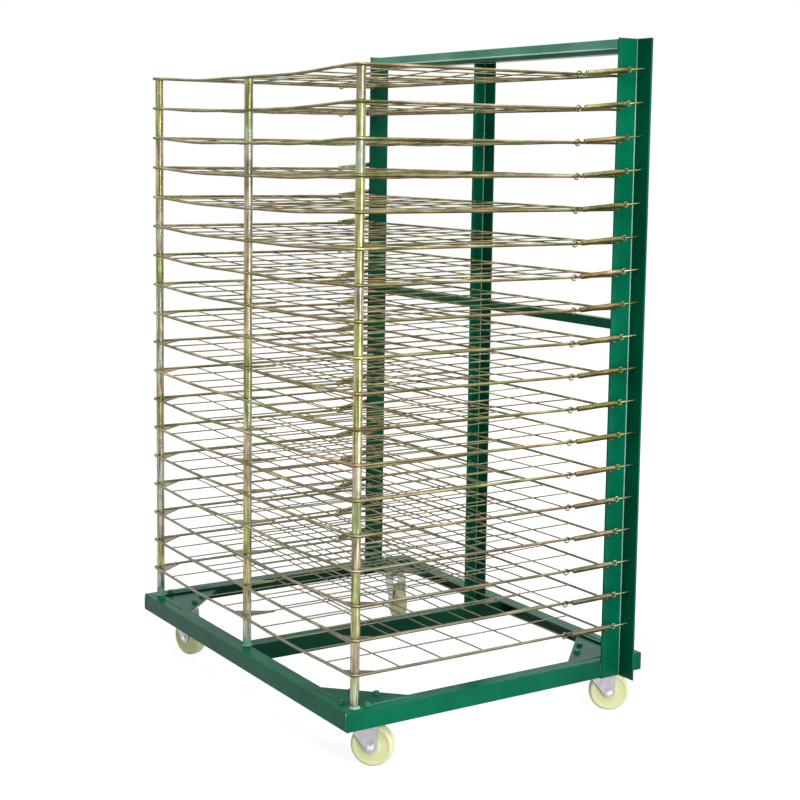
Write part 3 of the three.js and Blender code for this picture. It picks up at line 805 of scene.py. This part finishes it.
def placed(source, name, material, level, depth=0, drop=0):
    """A copy of a shelf mesh at its level, sagging by depth and drop, with its undersides marked for painted
    shade.
    """
    mesh = bpy.data.meshes.new(name)
    source.to_mesh(mesh)
    for vertex in mesh.vertices:
        x, y, z = vertex.co
        vertex.co = (x, y + HINGE_Y, z + level - sag(x, y, depth, drop))
    mesh.update()
    # Marks how far each point faces down, for painted shade on the undersides
    underside_shade = mesh.attributes.new("underside_shade", "FLOAT", "POINT")
    for vertex in mesh.vertices:
        underside_shade.data[vertex.index].value = (1 - vertex.normal.z) / 2
    return finish_object(name, mesh, material)


def spring_ends(side):
    """Eyelet and anchor of one spring, in the shelf's frame."""
    low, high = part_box("right_upright")
    eyelet = Vector((side * (SIDE_WIRE_X + EYELET_REACH), -EYELET_ARM, EYELET_RISE))
    anchor = Vector((side * (low[0] + ANCHOR_INSET), high[1] - UPRIGHT_WALL - HINGE_Y, ANCHOR_RISE))
    return eyelet, anchor


def spring_mesh(side, trees):
    """A spring with its eyelet round the side wire and its hook on a pin through the upright."""
    eyelet, anchor = spring_ends(side)
    along = (anchor - eyelet).normalized()
    start = eyelet + along * EYELET_LEAD
    end = start + along * COIL_LENGTH
    coil = grown_mesh(trees["coil"], {
        "Turns": COIL_TURNS, "Coil Radius": COIL_RADIUS, "Length": COIL_LENGTH, "Wire Radius": SPRING_WIRE})
    turn = UP.rotation_difference(along).to_matrix()
    coil.transform(Matrix.Translation(start) @ turn.to_4x4())
    bm = bmesh.new()
    bm.from_mesh(coil)
    bpy.data.meshes.remove(coil)
    rim = turn @ Vector((COIL_RADIUS, 0, 0))
    ring = Vector((side * (SIDE_WIRE_X + EDGE_RADIUS + EYELET_GAP), -EYELET_ARM - EYELET_RING, 0))
    loop = arc(ring, Vector((0, 1, 0)), UP, EYELET_RING, EYELET_POINTS)
    sweep(bm, [start + rim, start + rim / 2, eyelet + along * EYELET_BEND] + loop, HOOK_WIRE, WIRE_SIDES)
    far = end + along * (HOOK_LEAD + HOOK_RING)
    hook = arc(far, -along, UP, HOOK_RING, HOOK_POINTS)
    sweep(bm, [end + rim, end + rim / 2, end + along * HOOK_LEAD / 2] + hook, HOOK_WIRE, WIRE_SIDES)
    pin = far + along * PIN_SEAT
    behind = anchor + Vector((0, PIN_TAIL, 0))
    neck = pin.lerp(anchor, PIN_NECK)
    sweep(bm, [pin - along * PIN_OVERLAP, pin, neck, anchor, behind], PIN_RADII, PIN_SIDES)
    return bm


def build_shelves(wire, tube, trees):
    chance = random.Random(SEED)
    wires = wire_mesh(trees)
    plates = plate_mesh()
    springs = {side: spring_mesh(side, trees) for side in (-1, 1)}
    for number in range(1, SHELF_COUNT + 1):
        body = f"shelf_{number:02d}"
        level = shelf_z(number)
        depth = SHELF_SAG * chance.uniform(*SAG_SPREAD)
        drop = middle_drop(number)
        riding(placed(wires, body + "_wires", wire, level, depth, drop), body, "yellow_zinc", body)
        riding(placed(plates, body + "_plates", wire, level, depth, drop), body, "yellow_zinc")
        riding(shelf_tubes(number, tube, chance), body, "yellow_zinc")
        for side, label in ((-1, "left"), (1, "right")):
            spring = placed(springs[side], f"{body}_{label}_spring", wire, level)
            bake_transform(spring)


# Frame


def mark_faces(node, mesh, band_top):
    """Marks the faces turned inwards or down, and the lower band of the top rail, for painted shade, and
    shades only the narrow strips as rounded.
    """
    painted_shade_mask = mesh.attributes.new("painted_shade_mask", "FLOAT", "FACE")
    depth = INWARD_SHADE.get(node, 1 if node in BASE_RAILS else 0)
    for face in mesh.polygons:
        outward = face.normal.x * face.center.x + face.normal.y * face.center.y
        turned_in = outward < -INWARD_LIMIT or node == "middle_rail" and abs(face.normal.x) > FACING
        banded = node == "top_rail" and face.center.z < band_top
        # Faces turned down, the top rail's lower band and faces turned in take painted shade
        painted_shade_mask.data[face.index].value = 1 if face.normal.z < -FACING or banded else depth * turned_in
        ends = [mesh.vertices[index].co for index in face.vertices]
        longest = max((b - a).length for a, b in zip(ends, ends[1:] + ends[:1]))
        face.use_smooth = face.area / longest < ROUNDED_STRIP


def eased(node, nodes, material):
    """A copy of a CAD piece with its long edges rounded as rolled steel is."""
    bm = bmesh.new()
    bm.from_mesh(nodes[node].data)
    bmesh.ops.remove_doubles(bm, verts=bm.verts, dist=MERGE_DISTANCE)
    bmesh.ops.dissolve_limit(bm, angle_limit=FLAT_ANGLE, verts=bm.verts, edges=bm.edges)
    edges = [edge for edge in bm.edges if edge.calc_length() > SHORT_EDGE and len(edge.link_faces) == 2
             and edge.calc_face_angle(0) > SHARP_ANGLE]
    roots = [edge for edge in edges if not edge.is_convex]
    corners = [edge for edge in edges if edge.is_convex]
    bmesh.ops.bevel(bm, geom=corners, offset=EDGE_ROUNDING, segments=3, profile=0.6, affect="EDGES",
                    clamp_overlap=True)
    roots = [edge for edge in roots if edge.is_valid]
    bmesh.ops.bevel(bm, geom=roots, offset=ROOT_ROUNDING, segments=4, profile=0.5, affect="EDGES",
                    clamp_overlap=True)
    band_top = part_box("top_rail")[0][2] + RAIL_BAND
    # The top rail is cut at the top of its lower band, which takes painted shade
    if node == "top_rail":
        whole = bm.verts[:] + bm.edges[:] + bm.faces[:]
        bmesh.ops.bisect_plane(bm, geom=whole, plane_co=(0, 0, band_top), plane_no=UP)
    piece = to_object(f"{node}_painted", bm, material, 50)
    mark_faces(node, piece.data, band_top)
    return riding(piece, "frame", "green_paint", node)


def weld_points(start, end, chance, bead):
    """Bead centres and radii of a hand-laid weld run."""
    start, end = Vector(start), Vector(end)
    steps = max(int((end - start).length / BEAD_STEP), LEAST_BEADS)
    points, radii = [], []
    for step in range(steps + 1):
        share = step / steps
        wander = Vector([chance.uniform(-BEAD_WANDER, BEAD_WANDER) for _ in range(3)])
        points.append(start.lerp(end, share) + wander)
        taper = min(1, BEAD_TAPER * share + BEAD_TIP, BEAD_TAPER * (1 - share) + BEAD_TIP)
        swell = BEAD_BODY + BEAD_SWELL * abs(math.sin(step * BEAD_RIPPLE))
        radii.append(bead * taper * (swell + chance.uniform(-BEAD_CHANCE, BEAD_CHANCE)))
    return points, radii


def lay_runs(name, runs, material, chance):
    """One piece of all the runs, each given by its start, its end and its bead radius."""
    bm = bmesh.new()
    for start, end, bead in runs:
        sweep(bm, *weld_points(start, end, chance, bead), WIRE_SIDES)
    return riding(to_object(name, bm, material, WELD_SMOOTH), "frame", "green_paint")


def standing(x, y, low, high, bead):
    return (x, y, low), (x, y, high), bead


def side_welds(side, rail, upright, bar, cross):
    """Runs on one side of the rack: base corners, upright foot, both bars and the two corner plates."""
    x, bottom, top = rail[1][0], rail[0][2], rail[1][2]
    front, rear = rail[0][1], rail[1][1]
    foot_x, foot_y = side * (x + FOOT_RUN_OUT), upright[0][1]
    corner_x = side * (x - CORNER_RUN_IN)
    flange_x = side * (x - SIDE_RUN_IN)
    bar_x = side * (upright[0][0] - RUN_RISE)
    bar_low, bar_high = bar[0][2] + RUN_END, bar[1][2] - RUN_END
    cross_low, cross_high = cross[0][2] + CROSS_RUN_END, cross[1][2] - CROSS_RUN_END
    runs = [
        standing(corner_x, front - CORNER_RUN_OUT, bottom + RUN_END, top - RUN_END, CORNER_BEAD),
        standing(corner_x, rear, bottom + RUN_END, top - RUN_END, CORNER_BEAD),
        standing(foot_x, foot_y - FOOT_RUN_OUT, bottom + FOOT_RUN_END, top - RUN_END, FOOT_BEAD),
        ((flange_x, foot_y + UPRIGHT_WALL, top + RUN_RISE),
         (flange_x, upright[1][1] - FOOT_RUN_END, top + RUN_RISE), SIDE_BEAD),
        standing(bar_x, bar[0][1] - BAR_RUN_OUT, bar_low, bar_high, BAR_BEAD),
        standing(bar_x, cross[0][1] - BAR_RUN_OUT, cross_low, cross_high, CROSS_BEAD),
    ]
    edge_x = side * (x - GUSSET_IN)
    for end in (-1, 1):
        edge_y = end * (rear - GUSSET_IN)
        along_y = [(edge_x, edge_y - end * reach, top) for reach in (GUSSET_START, GUSSET_END)]
        along_x = [(edge_x - side * reach, edge_y, top) for reach in (GUSSET_START, GUSSET_END)]
        runs += [(*along_y, GUSSET_BEAD), (*along_x, GUSSET_BEAD)]
    return runs


def build_welds(material):
    """Weld runs where the base rails, uprights and bars meet."""
    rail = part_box("right_side_rail")
    pieces = [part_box(node) for node in ("right_upright", "top_rail", "crossbar")]
    runs = [run for side in (-1, 1) for run in side_welds(side, rail, *pieces)]
    low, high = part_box("middle_upright")
    level = rail[1][2] + RUN_RISE
    root_y = high[1] - MIDDLE_RUN_BACK
    web_x = low[0] + RUN_END
    runs.append(((web_x, low[1] - MIDDLE_RUN_OUT, level), (web_x, root_y, level), BAR_BEAD))
    runs.append(((low[0] + MIDDLE_RUN_TURN, root_y, level), (high[0] - RUN_END, root_y, level), BAR_BEAD))
    return lay_runs("weld_runs", runs, material, random.Random(SEED + 1))


def build_seams(material):
    """Thin beads in pale paint, as painted highlights: base corners, roots of the uprights and a line along
    the top rail.
    """
    low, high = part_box("front_rail")
    runs = [standing(side * high[0], low[1], low[2], high[2], SEAM_BEAD) for side in (-1, 1)]
    walls = {"left_upright": -UPRIGHT_WALL, "right_upright": UPRIGHT_WALL, "middle_upright": MIDDLE_WALL}
    for node, wall in walls.items():
        low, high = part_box(node)
        root_x = (high[0] if wall < 0 else low[0]) + wall
        runs.append(standing(root_x, high[1] - abs(wall), low[2] + SEAM_END, high[2] - SEAM_END, SEAM_BEAD))
    low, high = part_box("top_rail")
    line_z = low[2] + RAIL_BAND
    runs.append(((low[0] + SEAM_END, low[1], line_z), (high[0] - SEAM_END, low[1], line_z), RAIL_BEAD))
    return lay_runs("highlight_seams", runs, material, random.Random(SEED + 2))


def build_stubs(material):
    """Painted stubs under the lowest tubes, each with a weld ring at its foot."""
    for label in ("left", "middle", "right"):
        low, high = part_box(f"{label}_stub")
        centre = Matrix.Translation(((low[0] + high[0]) / 2, (low[1] + high[1]) / 2, 0))
        top = high[2]
        foot = low[2] - STUB_SINK
        ring = min(FOOT_RING, (top - foot) * FOOT_SHARE)
        profile = [
            (TUBE_BORE, foot), (TUBE_RADIUS + ring, foot),
            (TUBE_RADIUS + ring * FOOT_SLOPE, foot + ring * FOOT_SHARE), (TUBE_RADIUS, foot + ring),
            (TUBE_RADIUS, top - STUB_RIM), (TUBE_RADIUS - STUB_RIM, top), (TUBE_BORE, top),
        ]
        bm = bmesh.new()
        lathe(bm, profile, STUB_SIDES, centre)
        riding(to_object(f"{label}_stub_painted", bm, material), "frame", "green_paint", f"{label}_stub")


# Casters


def caster_places():
    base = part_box("right_side_rail")
    x, y = base[1][0] - SWIVEL_INSET, base[1][1] - SWIVEL_INSET
    return {"front_left": (-x, -y), "front_right": (x, -y), "rear_right": (x, y), "rear_left": (-x, y)}


def in_metres(profile, base=0, sign=1):
    """A turned profile in metres, its heights counted from a base, upwards or downwards."""
    return [(radius * MM, sign * (base + height * MM)) for radius, height in profile]


def fork_outline():
    """A fork leg seen from its side: trailing direction against height."""
    points = [(-FORK_BACK, FORK_TOP), (-FORK_BACK, FORK_SHOULDER), FORK_WAIST]
    for step in range(LUG_STEPS + 1):
        angle = LUG_START + LUG_TURN * step / LUG_STEPS
        along, rise = LUG_RADIUS * math.cos(angle), LUG_RADIUS * math.sin(angle)
        points.append((CASTER_TRAIL + along, WHEEL_RADIUS + rise))
    return points + [(CASTER_TRAIL + LUG_RADIUS, FORK_CHEEK), (FORK_FRONT, FORK_TOP)]


def crown_section():
    """The pressed crown seen from its end: rounded shoulders, and the same shape a wall lower inside."""
    half = []
    for step in range(CROWN_STEPS + 1):
        angle = math.pi - step * math.pi / 2 / CROWN_STEPS
        across, drop = 1 + math.cos(angle), 1 - math.sin(angle)
        half.append((CROWN_RADIUS * across - FORK_OUTER, FORK_CROWN - CROWN_RADIUS * drop))
    outside = half + [(-y, z) for y, z in half[::-1]]
    return outside + [(y * FORK_INNER / FORK_OUTER, z - FORK_WALL) for y, z in outside[::-1]]


def fork_mesh(matrix):
    """Pressed fork: two legs, a rounded crown and the ball race on top."""
    bm = bmesh.new()
    leg = fork_outline()
    for side in (-1, 1):
        walls = (side * FORK_INNER, side * FORK_OUTER)
        close_between(bm, *[[bm.verts.new((u, y, z)) for u, z in leg] for y in walls])
    section = crown_section()
    close_between(bm, *[[bm.verts.new((u, y, z)) for y, z in section] for u in (-FORK_BACK, FORK_FRONT)])
    lathe(bm, in_metres(RACE_PROFILE, FORK_CROWN), RACE_SIDES, Matrix.Identity(4))
    bm.transform(matrix)
    return bm


def wheel_mesh(matrix):
    """Moulded wheel: crowned tread, dished sides, raised hub."""
    half = in_metres(WHEEL_PROFILE)
    bm = bmesh.new()
    lathe(bm, half + [(radius, -height) for radius, height in half[::-1]], WHEEL_SIDES,
          Matrix.Rotation(math.pi / 2, 4, "X"))
    bm.transform(matrix)
    return bm


def axle_mesh(matrix):
    """Axle bolt: a washer and a chamfered hexagon on each side of the fork, and the shaft between them."""
    bm = bmesh.new()
    turn = Matrix.Rotation(math.pi / 2, 4, "X")
    for sign in (-1, 1):
        lathe(bm, in_metres(AXLE_WASHER, AXLE_SEAT, sign), WASHER_SIDES, turn)
        lathe(bm, in_metres(AXLE_HEXAGON, AXLE_SEAT, sign), HEXAGON, turn)
    reach = AXLE_SEAT + AXLE_PAST_SEAT
    shaft = [(AXLE_CORE, -reach), (AXLE_RADIUS, -reach), (AXLE_RADIUS, reach), (AXLE_CORE, reach)]
    lathe(bm, shaft, SHAFT_SIDES, turn)
    bm.transform(matrix)
    return bm


def plate_outline():
    """The caster's mounting plate from above, with rounded corners."""
    length, width = (half - CASTER_PLATE_CORNER for half in CASTER_PLATE_HALF)
    outline = []
    for quarter, (along, across) in enumerate(((1, 1), (-1, 1), (-1, -1), (1, -1))):
        for step in range(PLATE_BEND_STEPS + 1):
            angle = (quarter + step / PLATE_BEND_STEPS) * math.pi / 2
            outline.append((along * length + CASTER_PLATE_CORNER * math.cos(angle),
                            across * width + CASTER_PLATE_CORNER * math.sin(angle)))
    return outline


def plate_and_bolts(corner, centre, steel, trees):
    """Mounting plate and its four bolts, two through the rails and two through the corner plate."""
    turn = math.radians(PLATE_TURNS[corner]) + math.pi / 4
    matrix = Matrix.Translation((*centre, 0)) @ Matrix.Rotation(turn, 4, "Z")
    heads = []
    for along, node in ((-1, "right_side_rail"), (1, f"{corner}_corner_plate")):
        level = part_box(node)[1][2] + BOLT_LIFT
        pair = [(along * BOLT_PLACE[0], across * BOLT_PLACE[1], level) for across in (-1, 1)]
        heads += [matrix @ Vector(place) for place in pair]
    carrier = bpy.data.meshes.new(f"{corner}_bolt_places")
    carrier.from_pydata(heads, [], [])
    bolts = grown_mesh(trees["bolt"], BOLT_SIZES, carrier)
    riding(finish_object(f"{corner}_caster_bolts", bolts, None), "frame", "green_paint")
    bm = bmesh.new()
    prism(bm, plate_outline(), CASTER_TOP - CASTER_PLATE_WALL, CASTER_TOP)
    bm.transform(matrix)
    plate = to_object(f"{corner}_caster_top", bm, steel)
    return riding(plate, "frame", "bright_steel", f"{corner}_caster_plate")


def build_casters(steel, bright, cream, trees):
    for corner, place in caster_places().items():
        turn = Matrix.Rotation(math.radians(CASTERS[corner]), 4, "Z")
        swivel = Matrix.Translation((*place, 0)) @ turn
        hub = swivel @ Matrix.Translation((CASTER_TRAIL, 0, WHEEL_RADIUS))
        plate_and_bolts(corner, place, steel, trees)
        fork = to_object(f"{corner}_fork_pressed", fork_mesh(swivel), steel, 35)
        axle = to_object(f"{corner}_axle_bolt", axle_mesh(hub), bright, 30)
        wheel = to_object(f"{corner}_wheel_moulded", wheel_mesh(hub), cream, 35)
        riding(fork, f"{corner}_swivel", "bright_steel", f"{corner}_fork")
        riding(axle, f"{corner}_swivel", "bright_steel", f"{corner}_axle")
        riding(wheel, f"{corner}_roller", "cream_wheel", f"{corner}_wheel")


# Studio


def seen_rays(tree):
    """1 on the rays that show the background itself: seen straight, in a gloss or through a clear piece."""
    path = tree.nodes.new("ShaderNodeLightPath")
    level = path.outputs["Is Camera Ray"]
    for label in ("Is Glossy Ray", "Is Transmission Ray"):
        larger = tree.nodes.new("ShaderNodeMath")
        larger.operation = "MAXIMUM"
        tree.links.new(level, larger.inputs[0])
        tree.links.new(path.outputs[label], larger.inputs[1])
        level = larger.outputs["Value"]
    return level


def studio_floor():
    material, tree, shader = new_material("studio_floor")
    shader.inputs["Base Color"].default_value = (FLOOR_TONE, FLOOR_TONE, FLOOR_TONE, 1)
    shader.inputs["Roughness"].default_value = 0.9
    shader.inputs["Specular IOR Level"].default_value = 0.1
    shader.inputs["Emission Color"].default_value = (1, 1, 1, 1)
    tree.links.new(spread(tree, seen_rays(tree), 0, FLOOR_GLOW), shader.inputs["Emission Strength"])
    corners = [(-1, -1), (1, -1), (1, 1), (-1, 1)]
    bm = bmesh.new()
    prism(bm, [(x * FLOOR_REACH, y * FLOOR_REACH) for x, y in corners], -FLOOR_THICKNESS, 0)
    to_object("studio_floor", bm, material)


def studio_light():
    world = bpy.data.worlds.new("studio")
    bpy.context.scene.world = world
    world.use_nodes = True
    tree = world.node_tree
    glow = tree.nodes["Background"]
    glow.inputs["Color"].default_value = (1, 1, 1, 1)
    tree.links.new(spread(tree, seen_rays(tree), WORLD_LIGHT, 1), glow.inputs["Strength"])
    for name, (place, width, height, power) in LAMPS.items():
        data = bpy.data.lights.new(name, "AREA")
        data.shape = "RECTANGLE"
        data.size = width
        data.size_y = height
        data.energy = power
        lamp = bpy.data.objects.new(name, data)
        lamp.location = place
        lamp.rotation_euler = (LAMP_TARGET - Vector(place)).to_track_quat("-Z", "Y").to_euler()
        bpy.context.scene.collection.objects.link(lamp)


def photo_camera():
    data = bpy.data.cameras.new("photo_camera")
    data.lens = CAMERA_LENS
    data.sensor_width = CAMERA_SENSOR
    data.shift_x, data.shift_y = CAMERA_SHIFT
    camera = bpy.data.objects.new("photo_camera", data)
    camera.location = CAMERA_PLACE
    camera.rotation_euler = Euler([math.radians(angle) for angle in CAMERA_TURN], "XYZ")
    bpy.context.scene.collection.objects.link(camera)
    bpy.context.scene.camera = camera


def main():
    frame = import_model()
    paint, lit_rail_paint = green_paint("green_paint"), green_paint("lit_top_rail_paint")
    weld = green_paint("weld_paint", with_painted_shade=False)
    wire, tube = yellow_zinc(), plated_tube()
    trees = {"row": wire_row_tree(wire), "coil": coil_tree(wire), "bolt": bolt_tree(weld)}
    # The top rail takes the lighter copy of the green paint, as painted light
    for node in BASE_RAILS + BARS + [f"{corner}_corner_plate" for corner in CASTERS]:
        eased(node, frame["nodes"], lit_rail_paint if node == "top_rail" else paint)
    build_welds(weld)
    # Pale seams as painted highlights
    build_seams(green_paint("highlight_paint", with_painted_shade=False))
    build_stubs(green_paint("stub_paint", with_painted_shade=False))
    build_casters(bright_zinc("bright_zinc"), bright_zinc("bright_axle"), cream_wheel(), trees)
    build_shelves(wire, tube, trees)
    studio_floor()
    studio_light()
    photo_camera()
    bpy.context.scene.view_settings.view_transform = "Standard"


main()
